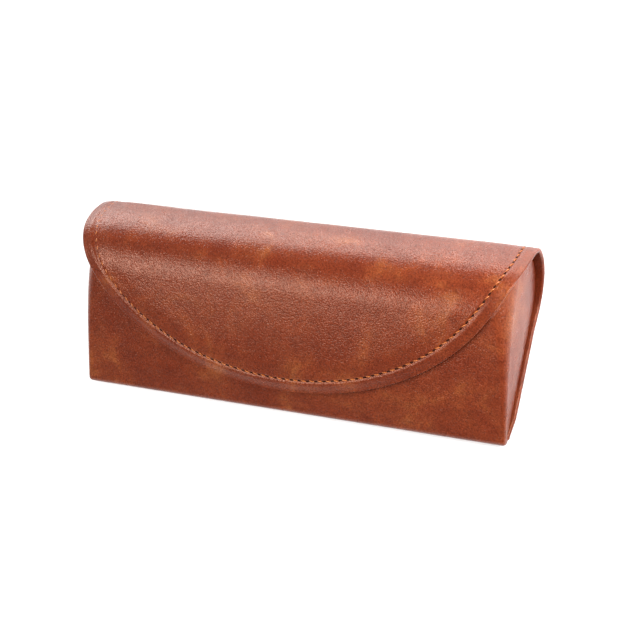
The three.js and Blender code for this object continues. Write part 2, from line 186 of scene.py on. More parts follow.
def wave(x, y, size, seed):
    """Smooth noise about -1 to 1, with hills roughly size millimetres apart."""
    return noise.noise(Vector((x / size, y / size, seed)))


def unevenness(x, y, layers):
    return sum(height * wave(x, y, size, seed) for height, size, seed in layers)


# ---------------------------------------------------------------- section of the outer sheet

def arc(radius, turn):
    """Run and turn of a round stretch from its radius in millimetres and its turn in degrees."""
    return radius * math.radians(turn), math.radians(turn)


def bend(run, turn):
    """Run and turn of a stretch from its run in millimetres and its turn in degrees."""
    return run, math.radians(turn)


FRONT_START_HEADING = FRONT_ANGLE + math.atan(4 * FRONT_BULGE / FRONT_HEIGHT)
FRONT_START = (
    FOLD_RADIUS * (FOLD_CENTRE - math.sin(FRONT_START_HEADING)),
    FOLD_RADIUS * (1 + math.cos(FRONT_START_HEADING)),
)
FOLD_TURN = math.pi - FRONT_START_HEADING
FOLD_RUN = FOLD_RADIUS * FOLD_TURN
BACK_STRETCHES = [(FOLD_RUN, FOLD_TURN), bend(BACK_FLAT, 0), arc(BACK_CURVE_RADIUS, 90)]
LID_STRETCHES = [arc(*LID_CORNER), bend(*TOP_PANEL), arc(*CREST), bend(*FLAP_FRONT)]
STRETCHES = BACK_STRETCHES + LID_STRETCHES
BACK_LENGTH = sum(run for run, turn in BACK_STRETCHES)
LID_LENGTH = sum(run for run, turn in LID_STRETCHES)
SHEET_LENGTH = BACK_LENGTH + LID_LENGTH
CURVE_CENTRE_Y = FOLD_RADIUS * FOLD_CENTRE + BACK_FLAT
HINGE_Y = CURVE_CENTRE_Y + BACK_CURVE_RADIUS


def advance(y, z, heading, run, turn):
    """The place and heading after one stretch of constant curvature."""
    after = heading + turn
    if abs(turn) < 1e-9:
        return y + run * math.cos(after), z + run * math.sin(after), after
    radius = run / turn
    y += radius * (math.sin(after) - math.sin(heading))
    z -= radius * (math.cos(after) - math.cos(heading))
    return y, z, after


def section(distance, inset=0.0):
    """A point (y, z) at a distance along the outer sheet, set in from its outer face."""
    y, z, heading = *FRONT_START, FRONT_START_HEADING + math.pi
    left = distance
    for run, turn in STRETCHES:
        part = min(1.0, max(0.0, left / run))
        y, z, heading = advance(y, z, heading, run * part, turn * part)
        left -= run
        if left <= 0:
            break
    return y - inset * math.sin(heading), z + inset * math.cos(heading)


def place(x, y, z):
    """Millimetres in the section frame to metres in the row frame."""
    return Vector((x * MM, (y - HINGE_Y) * MM + HINGE.y, z * MM))


def on_sheet(x, distance, inset):
    return place(x, *section(distance, inset))


# ---------------------------------------------------------------- mesh builders

def new_object(name, vertices, faces, material):
    mesh = bpy.data.meshes.new(name)
    mesh.from_pydata([tuple(v) for v in vertices], [], faces)
    mesh.validate()
    mesh.polygons.foreach_set("use_smooth", [True] * len(mesh.polygons))
    mesh.materials.append(material)
    piece = bpy.data.objects.new(name, mesh)
    bpy.context.scene.collection.objects.link(piece)
    return piece


def grid_faces(rows, columns, start, flip):
    faces = []
    for r in range(rows - 1):
        for c in range(columns - 1):
            a = start + r * columns + c
            quad = (a, a + 1, a + columns + 1, a + columns)
            faces.append(quad[::-1] if flip else quad)
    return faces


def boundary(rows, columns):
    """Grid places round the edge, each with its inner neighbour."""
    loop = [((0, c), (1, c)) for c in range(columns - 1)]
    loop += [((r, columns - 1), (r, columns - 2)) for r in range(rows - 1)]
    loop += [((rows - 1, c), (rows - 2, c)) for c in range(columns - 1, 0, -1)]
    loop += [((r, 0), (r, 1)) for r in range(rows - 1, 0, -1)]
    return loop


def rounded_edge(top, low, inner_neighbour, steps, crease):
    """Points of a half round edge from the top face to the low one, with a crease half way."""
    up = (top - low).normalized()
    out = top - inner_neighbour
    out = (out - up * out.dot(up)).normalized()
    middle, reach = (top + low) / 2, (top - low).length / 2
    place_of_crease, width_of_crease = CREASE_ANGLE
    points = []
    for step in range(1, steps):
        angle = math.pi * step / steps
        off_crease = (angle - place_of_crease) / width_of_crease
        swell = 1 - crease * math.exp(-off_crease ** 2)
        points.append(middle + (up * math.cos(angle) + out * math.sin(angle)) * reach * swell)
    return points


def closed_sheet(name, outer, inner, material, steps=6, crease=0.0):
    """A closed sheet between two grids of points, with a rounded edge all round."""
    rows, columns = len(outer), len(outer[0])
    vertices = [p for row in outer for p in row] + [p for row in inner for p in row]
    half = rows * columns
    faces = grid_faces(rows, columns, 0, False) + grid_faces(rows, columns, half, True)
    rings = []
    for (r, c), (r2, c2) in boundary(rows, columns):
        edge = rounded_edge(outer[r][c], inner[r][c], outer[r2][c2], steps, crease)
        first = len(vertices)
        vertices += edge
        middle = list(range(first, first + len(edge)))
        rings.append([r * columns + c, *middle, half + r * columns + c])
    for i, ring in enumerate(rings):
        following = rings[(i + 1) % len(rings)]
        for k in range(steps):
            faces.append((following[k], ring[k], ring[k + 1], following[k + 1]))
    return new_object(name, vertices, faces, material)


def thread_tube(centres, across, sides):
    """Vertices and faces of a closed, tapered tube with two twisted plies."""
    vertices, faces = [], []
    count = len(centres)
    for i, centre in enumerate(centres):
        ahead = centres[min(i + 1, count - 1)] - centres[max(i - 1, 0)]
        side = ahead.cross(across).normalized()
        lift = side.cross(ahead).normalized()
        share = lerp(THREAD_TAPER, 1 - THREAD_TAPER, i / (count - 1))
        radius = THREAD_RADIUS * MM * math.sqrt(math.sin(math.pi * share))
        for k in range(sides):
            angle = 2 * math.pi * k / sides
            reach = radius * (1 - PLY_DEPTH * (1 - abs(math.cos(angle + PLY_TWIST * i))))
            vertices.append(centre + (side * math.cos(angle) + lift * math.sin(angle)) * reach)
    for i in range(count - 1):
        for k in range(sides):
            a, b = i * sides + k, i * sides + (k + 1) % sides
            faces.append((a, b, b + sides, a + sides))
    faces.append(tuple(range(sides - 1, -1, -1)))
    faces.append(tuple(range((count - 1) * sides, count * sides)))
    return vertices, faces


def joined(parts):
    """One list of vertices and faces from several."""
    vertices, faces = [], []
    for some_vertices, some_faces in parts:
        start = len(vertices)
        vertices += some_vertices
        faces += [tuple(start + index for index in face) for face in some_faces]
    return vertices, faces


# ---------------------------------------------------------------- outer sheet, back and flap

def round_end_point(turn, inset):
    """A point (x, from tip) of the flap's round end, set in square to the edge."""
    out = Vector((math.sin(turn) / FLAP_HALF_WIDTH, -math.cos(turn) / FLAP_ROUND)).normalized()
    x = FLAP_HALF_WIDTH * math.sin(turn) - inset * out.x
    return x, FLAP_ROUND * (1 - math.cos(turn)) - inset * out.y


def flap_outline(up, inset):
    """Distance from the tip and half width of the flap at a share of the way from the hinge."""
    straight = FLAP_STRAIGHT_ROWS
    if up <= straight:
        return lerp(LID_LENGTH, FLAP_ROUND, up / straight), FLAP_HALF_WIDTH - inset
    least = math.asin(FLAP_TIP_HALF_WIDTH / FLAP_HALF_WIDTH)
    turn = lerp(math.pi / 2, least, (up - straight) / (1 - straight))
    half, from_tip = round_end_point(turn, inset)
    return from_tip, half


def back_half_width(distance):
    tuck = FOOT_TUCK * (1 - smooth(distance, FOLD_RUN, FOLD_RUN + FOOT_TUCK_RUN))
    return lerp(SHEET_HALF_LOW, SHEET_HALF_HIGH, smooth(distance, *SHEET_FLARE)) - tuck


SHEET_START = FOLD_RUN + SHEET_LAP


def sheet_rows(back_rows, flap_rows, inset=0.0):
    """(distance along the sheet, half width) of each row, from the bottom fold to the tip."""
    rows = []
    for r in range(back_rows):
        distance = lerp(SHEET_START, BACK_LENGTH, r / back_rows)
        rows.append((distance, back_half_width(distance) - inset))
    for r in range(flap_rows + 1):
        from_tip, half = flap_outline(r / flap_rows, inset)
        rows.append((SHEET_LENGTH - from_tip, half))
    return rows


def edge_distance(x, distance):
    """Distance from the sheet's edge, measured in the flat leather."""
    from_tip = SHEET_LENGTH - distance
    if from_tip > LID_LENGTH:
        return min(back_half_width(distance) - abs(x), distance - SHEET_START + HIDDEN_HEM)
    if from_tip >= FLAP_ROUND:
        return FLAP_HALF_WIDTH - abs(x)
    u = x / FLAP_HALF_WIDTH
    v = (FLAP_ROUND - from_tip) / FLAP_ROUND
    slope = 2 * math.hypot(u / FLAP_HALF_WIDTH, v / FLAP_ROUND)
    if slope < 1e-6:
        return FLAP_ROUND
    return (1 - u * u - v * v) / slope


def foam_at(distance):
    """Thickness of the foam over the crest."""
    low, high = FLAP_FRONT[0] - FOAM_PAST_CREST, LID_LENGTH - FOAM_BEFORE_HINGE
    share = min(1.0, max(0.0, (SHEET_LENGTH - distance - low) / (high - low)))
    return CREST_FOAM * math.sin(math.pi * share) ** 2


def flap_share(distance):
    """0 on the back, 1 on the flap a little beyond the hinge."""
    return smooth(distance, BACK_LENGTH, BACK_LENGTH + FLAP_SET_IN)


def sheet_relief(x, distance):
    """How far the leather stands above the plain section: border, stitch groove and padding."""
    edge = edge_distance(x, distance)
    sway = unevenness(x, distance, SHEET_SWAY) * smooth(edge, *SHEET_SWAY_RUN)
    if distance < BACK_LENGTH:
        return BACK_SWAY * sway * smooth(distance, FOLD_RUN + BACK_SWAY_START, BACK_LENGTH)
    border = -BORDER_DIP * (1 - smooth(edge, 0, BORDER_WIDTH))
    groove = -STITCH_GROOVE * math.exp(-((edge - STITCH_INSET) / STITCH_GROOVE_WIDTH) ** 2)
    across = min(1.0, max(0.0, edge / STITCH_INSET))
    crown = BORDER_CROWN * math.sin(math.pi * across ** CROWN_SKEW)
    pad = -PAD_SINK * (1 - smooth(edge, *PAD_RUN))
    rise = LEFT_RISE * smooth(-x, *LEFT_END)
    return flap_share(distance) * (border + groove + crown + pad + rise + sway)


def hem_bottom(distance):
    """Inset of the hem's inner face."""
    on_flap = PAD_SINK + BORDER_DIP + FLAP_HEM_THICKNESS
    return lerp(HEM_THICKNESS, on_flap, flap_share(distance))


def hem_inset(x, distance):
    """Inset of the leather's inner face, which is lower where the hem is turned in."""
    edge = edge_distance(x, distance)
    return lerp(hem_bottom(distance), LEATHER, smooth(edge, HEM_WIDTH, HEM_WIDTH + HEM_STEP))


def sheet_grid(rows, columns, inset, side_inset=0.0):
    """Rows of points on the sheet, each at its own inset from the plain section."""
    grid = []
    for distance, half in rows:
        shrink = (half - side_inset) / half
        line = []
        for c in range(columns + 1):
            share = 2 * c / columns - 1
            x = half * shrink * math.copysign(1 - (1 - abs(share)) ** COLUMN_CROWDING, share)
            reach = 1 + LEFT_REACH * flap_share(distance) * smooth(-x, *LEFT_END)
            line.append(on_sheet(x * reach, distance, inset(x, distance)))
        grid.append(line)
    return grid


def lining_top(x, distance):
    """Inset of the lining's outer face: it lies on the hem, the boards and the magnet."""
    edge = edge_distance(x, distance)
    under_hem = hem_bottom(distance) + LINING_GAP
    on_back = lerp(under_hem, BACK_BOARD_INNER, smooth(edge, *BACK_LINING_RISE))
    if distance < BACK_LENGTH:
        return on_back
    board = FLAP_BOARD_INNER + foam_at(distance)
    on_flap = lerp(under_hem, board, smooth(edge, *FLAP_LINING_RISE))
    top = lerp(on_back, on_flap, smooth(distance, BACK_LENGTH, BACK_LENGTH + LINING_CHANGE))
    off_magnet = math.hypot(x, SHEET_LENGTH - distance - MAGNET_UP_FLAP) - MAGNET_RADIUS
    return top + MAGNET_BUMP * (1 - smooth(off_magnet, *MAGNET_BUMP_RUN))


# ---------------------------------------------------------------- wall of the front and gussets

ALONG = (math.cos(FRONT_ANGLE), math.sin(FRONT_ANGLE))
INWARD = (ALONG[1], -ALONG[0])
CURVE_CENTRE = (
    (CURVE_CENTRE_Y - FRONT_START[0]) * ALONG[0] + (BACK_CURVE_RADIUS - FRONT_START[1]) * ALONG[1],
    (CURVE_CENTRE_Y - FRONT_START[0]) * INWARD[0] + (BACK_CURVE_RADIUS - FRONT_START[1]) * INWARD[1],
)


def corner_radius(height):
    flare = CORNER_FLARE * (max(height, 0) / GUSSET_HEIGHT) ** 4
    return CORNER_FOOT_RADIUS + CORNER_WIDENING * height + flare


def rear_depth(height, seat):
    """Depth at which a gusset meets an inset of the back."""
    flat = (height * ALONG[1] + FRONT_START[1] - seat) / ALONG[0]
    if flat * INWARD[0] + height * ALONG[0] + FRONT_START[0] < CURVE_CENTRE_Y:
        return flat
    off = height - CURVE_CENTRE[0]
    return CURVE_CENTRE[1] + math.sqrt(max(0.0, (BACK_CURVE_RADIUS - seat) ** 2 - off ** 2))


def board_rim(x, depth):
    """Height of the boards' rim, which climbs with the depth whatever the x."""
    height, rise, run = BOARD_RIM
    return height + rise * math.sin(math.pi / 2 * min(1.0, max(0.0, depth / run)))


def leather_rim(x, depth):
    """The leather rim is straight across the front and follows the lid over the gussets."""
    height, rise, run = LEATHER_RIM
    climbed = height + rise * (1 - math.exp(-max(0.0, depth) / run))
    return lerp(BOARD_RIM[0], climbed, smooth(abs(x), *RIM_CLIMB))


def front_depth(x, height):
    """Depth of the front's outer face, which bulges outwards."""
    share = height / FRONT_HEIGHT
    fade = 1 - (abs(x) / HALF_LENGTH) ** 4
    return -4 * FRONT_BULGE * share * (1 - share) * fade


def wall_plan(part, share, side, height, inset, seat=WALL_SEAT):
    """Across and inward position of the wall at a height up the front."""
    radius = max(corner_radius(height) - inset, LEAST_CORNER_RADIUS)
    face = HALF_LENGTH - WALL_TAPER * height - inset
    lean = WALL_LEAN * height
    straight = face - radius
    if part == "front":
        x = share * straight
        return x + lean, front_depth(x, height) + inset
    start = front_depth(straight, height) + inset
    if part == "corner":
        turn = share * math.pi / 2
        x = straight + radius * math.sin(turn)
        return side * x + lean, start + radius * (1 - math.cos(turn))
    depth = lerp(start + radius, max(rear_depth(height, seat), start + radius), share)
    bulge = GUSSET_BULGE * math.sin(math.pi * share) * smooth(height, *GUSSET_BULGE_RISE)
    return side * (face + bulge) + lean, depth


def rim_height(column, inset, rim):
    """Height of a rim at a column, where the rim's height depends on its own depth."""
    top = BOARD_RIM[0]
    for _ in range(RIM_PASSES):
        top = rim(*wall_plan(*column, top, inset))
    return top


def wall_place(x, height, depth):
    """A point from its height up the front panel and its depth inward from it."""
    y = FRONT_START[0] + height * ALONG[0] + depth * INWARD[0]
    z = FRONT_START[1] + height * ALONG[1] + depth * INWARD[1]
    return place(x, y, z)


def wrap_columns(gusset, corner, front):
    """(part, share, side) of each column from the left rear edge to the right one."""
    half = [("gusset", 1 - i / gusset) for i in range(gusset)]
    half += [("corner", 1 - i / corner) for i in range(corner)]
    left = [(part, share, -1) for part, share in half]
    middle = [("front", 2 * i / front - 1, 1) for i in range(front + 1)]
    right = [(part, share, 1) for part, share in reversed(half)]
    return left + middle + right


def foot_of(part, share, front_foot, gusset_foot):
    """Height of the foot at a column, with the corner between the front and the gusset."""
    if part == "front":
        return front_foot
    return lerp(front_foot, gusset_foot, share) if part == "corner" else gusset_foot


def wall_point(column, height, inset, seat):
    x, depth = wall_plan(*column, height, inset, seat)
    sway = unevenness(x, height, WALL_SWAY) * smooth(height, *WALL_SWAY_RUN)
    return wall_place(x, height, depth + sway)


def wall_grid(columns, rows, inset, feet, rim, rim_drop, gap=(WALL_SEAT, WALL_SEAT)):
    """Rows of points from the foot of the wall to its rim."""
    tops = [rim_height(column, inset, rim) - rim_drop for column in columns]
    grid = []
    for r in range(rows + 1):
        line = []
        for column, top in zip(columns, tops):
            height = lerp(foot_of(*column[:2], *feet), top, r / rows)
            seat = lerp(*gap, smooth(height, *SHEET_GAP_RISE))
            line.append(wall_point(column, height, inset, seat))
        grid.append(line)
    return grid


def fold_grid(columns, rows, end, inset):
    """Rows that carry the front leather round the bottom fold, from the underside to the foot."""
    grid = []
    for r in range(rows):
        distance = lerp(end, 0.0, r / rows)
        line = []
        for column in columns:
            x, inward = wall_plan(*column, 0.0, inset)
            if column[0] == "gusset":
                inward = lerp(corner_radius(0), FOLD_RADIUS - FOLD_CLEARANCE, column[1])
            line.append(place(x, *section(distance, max(inward, inset))))
        grid.append(line)
    return grid


# ---------------------------------------------------------------- materials

def new_material(name):
    material = bpy.data.materials.new(name)
    material.use_nodes = True
    tree = material.node_tree
    return material, tree, tree.nodes["Principled BSDF"]


def coordinates(tree):
    return tree.nodes.new("ShaderNodeTexCoord").outputs["Object"]


def noise_texture(tree, scale, detail=3.0, roughness=0.5, distortion=0.0, seed=0.0):
    """Noise with features about 1 / scale metres across."""
    shift = tree.nodes.new("ShaderNodeMapping")
    shift.inputs["Location"].default_value = (seed, seed * 0.7, -seed)
    tree.links.new(coordinates(tree), shift.inputs["Vector"])
    node = tree.nodes.new("ShaderNodeTexNoise")
    node.inputs["Scale"].default_value = scale
    node.inputs["Detail"].default_value = detail
    node.inputs["Roughness"].default_value = roughness
    node.inputs["Distortion"].default_value = distortion
    tree.links.new(shift.outputs["Vector"], node.inputs["Vector"])
    return node.outputs["Fac"]


def cell_edges(tree, scale, wobble):
    """Distance to the edges of cells about 1 / scale metres across, bent by noise."""
    bent = tree.nodes.new("ShaderNodeMix")
    bent.data_type = "VECTOR"
    bent.inputs["Factor"].default_value = wobble
    jitter = tree.nodes.new("ShaderNodeTexNoise")
    jitter.inputs["Scale"].default_value = scale * 0.6
    where = coordinates(tree)
    tree.links.new(where, jitter.inputs["Vector"])
    tree.links.new(where, bent.inputs["A"])
    tree.links.new(jitter.outputs["Color"], bent.inputs["B"])
    node = tree.nodes.new("ShaderNodeTexVoronoi")
    node.feature = "DISTANCE_TO_EDGE"
    node.inputs["Scale"].default_value = scale
    tree.links.new(bent.outputs["Result"], node.inputs["Vector"])
    return node.outputs["Distance"]


def ramp(tree, value, stops):
    """A colour for each value, from (value, colour) stops."""
    node = tree.nodes.new("ShaderNodeValToRGB")
    elements = node.color_ramp.elements
    elements.remove(elements[1])
    for i, (position, colour) in enumerate(stops):
        element = elements[0] if i == 0 else elements.new(position)
        element.position = position
        element.color = (*colour, 1)
    tree.links.new(value, node.inputs["Fac"])
    return node.outputs["Color"]


def remap(tree, value, low, high, to_low, to_high):
    """The range from low to high stretched to another one."""
    node = tree.nodes.new("ShaderNodeMapRange")
    for socket, number in (("From Min", low), ("From Max", high)):
        node.inputs[socket].default_value = number
    for socket, number in (("To Min", to_low), ("To Max", to_high)):
        node.inputs[socket].default_value = number
    tree.links.new(value, node.inputs["Value"])
    return node.outputs["Result"]


def multiplied(tree, factor, a, b):
    """Colour a, darkened or lightened by colour b to the share given."""
    node = tree.nodes.new("ShaderNodeMix")
    node.data_type = "RGBA"
    node.blend_type = "MULTIPLY"
    factor_socket, a_socket, b_socket, result = 0, 6, 7, 2    # the sockets for colours
    node.inputs[factor_socket].default_value = factor
    tree.links.new(a, node.inputs[a_socket])
    tree.links.new(b, node.inputs[b_socket])
    return node.outputs[result]


def bump(tree, height, distance, below=None):
    """A bump of a height in metres, on top of another one where given."""
    node = tree.nodes.new("ShaderNodeBump")
    node.inputs["Distance"].default_value = distance
    tree.links.new(height, node.inputs["Height"])
    if below is not None:
        tree.links.new(below, node.inputs["Normal"])
    return node.outputs["Normal"]


def leather_material():
    """Brown leather with a fine grain, darker in its valleys, and lighter and darker clouds."""
    material, tree, shader = new_material("brown_leather")
    clouds = noise_texture(tree, 60, detail=4, roughness=0.6, distortion=0.5)
    patches = noise_texture(tree, 210, detail=4, roughness=0.65, distortion=0.4, seed=3.1)
    base = ramp(tree, clouds, [
        (0.32, (0.132, 0.020, 0.007)),
        (0.48, (0.152, 0.026, 0.009)),
        (0.58, (0.176, 0.034, 0.011)),
        (0.72, (0.250, 0.068, 0.020)),
    ])
    spots = ramp(tree, patches, [(0.34, (0.84, 0.80, 0.78)), (0.62, (1.1, 1.12, 1.12))])
    base = multiplied(tree, 0.85, base, spots)
    grain = noise_texture(tree, 1850, detail=1, seed=1.9)
    valleys = ramp(tree, grain, [(0.34, (0.66, 0.60, 0.58)), (0.56, (1.12, 1.12, 1.12))])
    base = multiplied(tree, 0.9, base, valleys)
    cells = cell_edges(tree, 1200, 0.0012)
    creases = ramp(tree, cells, [(0.0, (0.6, 0.5, 0.46)), (0.14, (1.0, 1.0, 1.0))])
    base = multiplied(tree, 0.6, base, creases)
    tree.links.new(base, shader.inputs["Base Color"])
    folds = noise_texture(tree, 330, roughness=0.6, distortion=1.0, seed=7.7)
    pebbles = remap(tree, cells, 0.0, 0.3, 0.0, 1.0)
    normal = bump(tree, folds, 0.00006)
    normal = bump(tree, pebbles, 0.00003, normal)
    normal = bump(tree, grain, 0.00011, normal)
    tree.links.new(normal, shader.inputs["Normal"])
    gloss = remap(tree, patches, 0.3, 0.7, 0.33, 0.26)
    tree.links.new(gloss, shader.inputs["Roughness"])
    shader.inputs["Specular IOR Level"].default_value = 0.38
    shader.inputs["Specular Tint"].default_value = (1.0, 0.60, 0.45, 1)
    return material


def suede_material():
    """Dark brown suede with a fine nap."""
    material, tree, shader = new_material("lining_suede")
    nap = noise_texture(tree, 1800, detail=4, roughness=0.7)
    cloud = noise_texture(tree, 90, roughness=0.6, distortion=0.5, seed=2.3)
    base = ramp(tree, cloud, [(0.3, (0.026, 0.009, 0.004)), (0.7, (0.050, 0.019, 0.009))])
    shade = ramp(tree, nap, [(0.25, (0.55, 0.55, 0.55)), (0.75, (1.25, 1.25, 1.25))])
    tree.links.new(multiplied(tree, 1.0, base, shade), shader.inputs["Base Color"])
    tree.links.new(bump(tree, nap, 0.00012), shader.inputs["Normal"])
    shader.inputs["Roughness"].default_value = 0.95
    shader.inputs["Sheen Weight"].default_value = 0.05
    shader.inputs["Sheen Roughness"].default_value = 0.5
    return material


def thread_material():
    """Orange thread with lighter and darker fibres."""
    material, tree, shader = new_material("orange_thread")
    fibres = noise_texture(tree, 3500, roughness=0.6)
    base = ramp(tree, fibres, [(0.3, (0.26, 0.055, 0.006)), (0.7, (0.52, 0.15, 0.022))])
    tree.links.new(base, shader.inputs["Base Color"])
    tree.links.new(bump(tree, fibres, 0.00004), shader.inputs["Normal"])
    shader.inputs["Roughness"].default_value = 0.45
    return material


def painted_hole_shade_material():
    """Painted shade for a needle hole: the dark inside the hole is a near-black colour, not shadow cast by the
    lamps.
    """
    material, tree, shader = new_material("needle_hole_painted_shade")
    speck = noise_texture(tree, 2500, detail=2)
    # painted shade: near-black colour standing in for the shadow inside the hole
    base = ramp(tree, speck, [(0.3, (0.014, 0.003, 0.001)), (0.7, (0.040, 0.009, 0.003))])
    tree.links.new(base, shader.inputs["Base Color"])
    shader.inputs["Roughness"].default_value = 0.9
    shader.inputs["Specular IOR Level"].default_value = 0.1
    return material


def fibre_material(name, dark, light, scale, depth, roughness):
    """Board, foam and tape: a speckled matt surface."""
    material, tree, shader = new_material(name)
    speck = noise_texture(tree, scale, detail=5, roughness=0.65)
    tree.links.new(ramp(tree, speck, [(0.3, dark), (0.7, light)]), shader.inputs["Base Color"])
    tree.links.new(bump(tree, speck, depth), shader.inputs["Normal"])
    shader.inputs["Roughness"].default_value = roughness
    return material


def metal_material(name, dark, light, roughness):
    """Plated metal with faint streaks."""
    material, tree, shader = new_material(name)
    streaks = noise_texture(tree, 900, detail=2, distortion=2.0)
    tree.links.new(ramp(tree, streaks, [(0.35, dark), (0.65, light)]), shader.inputs["Base Color"])
    tree.links.new(remap(tree, streaks, 0.3, 0.7, roughness, roughness + 0.12),
                   shader.inputs["Roughness"])
    shader.inputs["Metallic"].default_value = 1.0
    return material


leather = leather_material()
suede = suede_material()
thread = thread_material()
painted_needle_shade = painted_hole_shade_material()
FINISHES = {
    "brown_leather": leather,
    "lining_fabric": suede,
    "orange_thread": thread,
    "greyboard": fibre_material(
        "greyboard", (0.20, 0.18, 0.15), (0.36, 0.33, 0.28), 700, 0.0001, 0.9),
    "foam_sheet": fibre_material(
        "foam_sheet", (0.55, 0.52, 0.44), (0.80, 0.77, 0.68), 1600, 0.0002, 0.95),
    "fabric_tape": fibre_material(
        "fabric_tape", (0.02, 0.015, 0.012), (0.06, 0.05, 0.045), 1400, 0.0001, 0.85),
    "keeper_steel": metal_material("keeper_steel", (0.42, 0.42, 0.44), (0.58, 0.58, 0.6), 0.3),
    "magnet_nickel": metal_material("magnet_nickel", (0.5, 0.48, 0.44), (0.66, 0.63, 0.58), 0.2),
}


def finish_cad_nodes():
    """A material for each CAD node; the bottom strip, which shows, is covered in suede."""
    for part in frame["record"]["subparts"]:
        materials = frame["nodes"][part["node"]].data.materials
        materials.clear()
        covered = part["node"] == "base_strip"
        materials.append(suede if covered else FINISHES[part["material_slot"]])


# ---------------------------------------------------------------- pieces

def bend_at_hinge(piece, slot, *replaced):
    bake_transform(piece)
    if replaced:
        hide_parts(*replaced)


def ride_on_case(piece, slot, *replaced):
    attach(piece, "case")
    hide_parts(*replaced)


def make_outer_leather():
    """One piece of leather from the bottom fold up the back and over the lid to the tip."""
    rows = sheet_rows(100, 200)
    outer = sheet_grid(rows, 200, lambda x, distance: -sheet_relief(x, distance), EDGE_ROUND)
    inner = sheet_grid(rows, 200, hem_inset, EDGE_ROUND)
    piece = closed_sheet("outer_leather", outer, inner, leather, 10, HEM_CREASE)
    bend_at_hinge(piece, "brown_leather", "back_cover", "flap_cover")


def make_inner_lining():
    """One piece of suede behind the outer leather, over the boards and the magnet."""
    rows = [row for row in sheet_rows(50, 110, LINING_INSET) if row[0] > FOLD_RUN + LINING_START]
    outer = sheet_grid(rows, 100, lining_top)
    inner = sheet_grid(rows, 100, lambda x, distance: lining_top(x, distance) + LINING)
    piece = closed_sheet("inner_suede_lining", outer, inner, suede, 4)
    bend_at_hinge(piece, "lining_fabric", "back_lining", "flap_lining")


def make_front_leather():
    """Front and gusset leather, folded round the corners and under the bottom edge."""
    columns = wrap_columns(30, 22, 150)
    layers = []
    for inset in (0.0, LEATHER):
        fold = fold_grid(columns, 14, FOLD_RUN + FRONT_LAP, inset)
        wall = wall_grid(columns, 90, inset, FRONT_FEET, leather_rim, 0.0, SHEET_GAP)
        layers.append(fold + wall)
    outer, inner = layers
    piece = closed_sheet("front_leather", outer, inner, leather, 5)
    ride_on_case(piece, "brown_leather", "front_cover")


def facing_grid(columns, path):
    """Rows along a path of (inset, height over the leather's rim, height over the boards' rim,
    share of the way from the first height to the second)."""
    grid = []
    for inset, above_leather, above_board, share in path:
        line = []
        for column in columns:
            top = rim_height(column, 0.0, leather_rim) + above_leather
            low = rim_height(column, WALL_BOARD_INNER, board_rim) + above_board
            height = lerp(top, low, share)
            if inset < WALL_BOARD_INNER:
                height = max(height, rim_height(column, inset, board_rim) + above_leather)
            line.append(wall_point(column, height, inset, SHEET_GAP[1]))
        grid.append(line)
    return grid


def make_rim_binding():
    """Leather turned over the rim: a narrow lip outside and a band inside the pocket."""
    columns = wrap_columns(16, 14, 90)
    outer = facing_grid(columns, [
        (0.30, 0.10, 0.0, 0.0), (0.75, 0.38, 0.0, 0.0), (1.40, 0.30, 0.0, 0.1),
        (3.10, 0.00, 0.5, 1.0), (3.85, 0.00, -0.3, 1.0), (3.95, 0.00, -2.5, 1.0),
        (3.95, 0.00, -5.5, 1.0),
    ])
    inner = facing_grid(columns, [
        (0.30, -0.10, 0.0, 0.0), (0.75, -0.20, 0.0, 0.0), (1.10, -0.30, 0.0, 0.1),
        (2.60, 0.00, 0.1, 1.0), (3.40, 0.00, -0.6, 1.0), (3.50, 0.00, -2.5, 1.0),
        (3.50, 0.00, -5.4, 1.0),
    ])
    piece = closed_sheet("rim_binding_leather", outer, inner, leather, 4)
    ride_on_case(piece, "brown_leather", "rim_binding")


def make_pocket_lining():
    """Suede on the inner faces of the front and gusset boards."""
    columns = wrap_columns(14, 12, 70)
    outer, inner = (
        wall_grid(columns, 40, inset, POCKET_FEET, board_rim, POCKET_RIM_DROP)
        for inset in (WALL_BOARD_INNER, WALL_BOARD_INNER + LINING)
    )
    piece = closed_sheet("pocket_suede_lining", outer, inner, suede, 4)
    ride_on_case(piece, "lining_fabric", "pocket_lining")


# ---------------------------------------------------------------- stitching

def stitch_line_point(share):
    """A point (x, from tip) of the stitch line; share runs from -1 to 1 round the flap."""
    straight = LID_LENGTH - FLAP_ROUND - STITCH_STOP
    if abs(share) > STITCH_ROUND_SHARE:
        beyond = (abs(share) - STITCH_ROUND_SHARE) / (1 - STITCH_ROUND_SHARE)
        x = FLAP_HALF_WIDTH - STITCH_INSET
        return math.copysign(x, share), FLAP_ROUND + beyond * straight
    return round_end_point(math.pi / 2 * share / STITCH_ROUND_SHARE, STITCH_INSET)


def stitch_marks():
    """Needle places along the stitch line, one pitch apart, as (x, distance along the sheet)."""
    samples = 4000
    line = [stitch_line_point(2 * i / samples - 1) for i in range(samples + 1)]
    marks, run = [line[0]], 0.0
    for a, b in zip(line, line[1:]):
        run += math.dist(a, b)
        if run >= STITCH_PITCH:
            marks.append(b)
            run = 0.0
    return [(x, SHEET_LENGTH - from_tip) for x, from_tip in marks]


def on_leather(x, distance, lift):
    return on_sheet(x, distance, -sheet_relief(x, distance) - lift)


